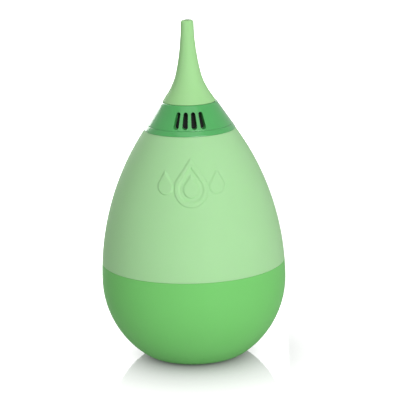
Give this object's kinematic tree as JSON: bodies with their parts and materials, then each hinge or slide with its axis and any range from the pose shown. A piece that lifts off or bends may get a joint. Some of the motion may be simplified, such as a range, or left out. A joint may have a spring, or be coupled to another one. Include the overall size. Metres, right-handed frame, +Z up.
{
  "type": "nasal aspirator",
  "caption": "Drop-shaped silicone squeeze bulb with a vented valve collar and a soft tapered nozzle, for clearing a baby's nose.",
  "frame": {"origin": "centre of the flat foot that the bulb stands on", "axes": "+Z up along the axis to the nozzle tip, -Y towards the front with the raised mark"},
  "size_m": [0.068, 0.068, 0.1254],
  "materials": {
    "green_silicone": "satin, dense silicone",
    "pale_silicone": "matte, soft-touch silicone",
    "nozzle_silicone": "matte, soft silicone, slightly milky",
    "valve_silicone": "milky, uncoloured silicone",
    "collar_plastic": "glossy, lightly translucent",
    "dark_plastic": "fine satin, black",
    "filter_foam": "open-cell foam, black",
    "clear_plastic": "clear, glossy"
  },
  "bodies": {
    "bulb_shell": {"bulb": "pale_silicone", "base_cup": "green_silicone"},
    "thumb_wall": {"squeeze_panel": "pale_silicone"},
    "valve_head": {"collar_base": "collar_plastic", "plate_seal": "valve_silicone", "valve_body": "dark_plastic", "valve_retainer": "dark_plastic", "intake_valve": "valve_silicone"},
    "exhaust_disc": {"exhaust_valve": "valve_silicone"},
    "flap": {"intake_flap": "valve_silicone"},
    "trap": {"trap_cup": "clear_plastic"},
    "collar": {"vent_collar": "collar_plastic", "filter_ring": "filter_foam"},
    "soft_nozzle": {"nozzle": "nozzle_silicone"}
  },
  "joints": [
    {"name": "thumb_squeeze", "type": "slide", "parent": "bulb_shell", "child": "thumb_wall", "axis": [0, 1, 0], "range_m": [0, 0.008], "stiffness_N_per_m": 350, "deforming": ["bulb", "base_cup"]},
    {"name": "head_pull", "type": "slide", "parent": "bulb_shell", "child": "valve_head", "axis": [0, 0, 1], "range_m": [0, 0.035], "deforming": ["bulb"]},
    {"name": "collar_lift", "type": "slide", "parent": "valve_head", "child": "collar", "axis": [0, 0, 1], "range_m": [0, 0.014]},
    {"name": "nozzle_pull", "type": "slide", "parent": "collar", "child": "soft_nozzle", "axis": [0, 0, 1], "range_m": [0, 0.012]},
    {"name": "trap_pull", "type": "slide", "parent": "valve_head", "child": "trap", "axis": [0, 0, -1], "range_m": [0, 0.012]},
    {"name": "exhaust_lift", "type": "slide", "parent": "valve_head", "child": "exhaust_disc", "axis": [0, 0, 1], "range_m": [0, 0.00125]},
    {"name": "flap_open", "type": "hinge", "parent": "valve_head", "child": "flap", "pos_m": [0, 0.006, 0.07925], "axis": [1, 0, 0], "range_deg": [0, 35], "stiffness_Nm_per_rad": 0.0001, "springref_deg": -11.46}
  ],
  "couplings": [
    {"joint": "exhaust_lift", "follows": "thumb_squeeze", "ratio": 0.15}
  ]
}
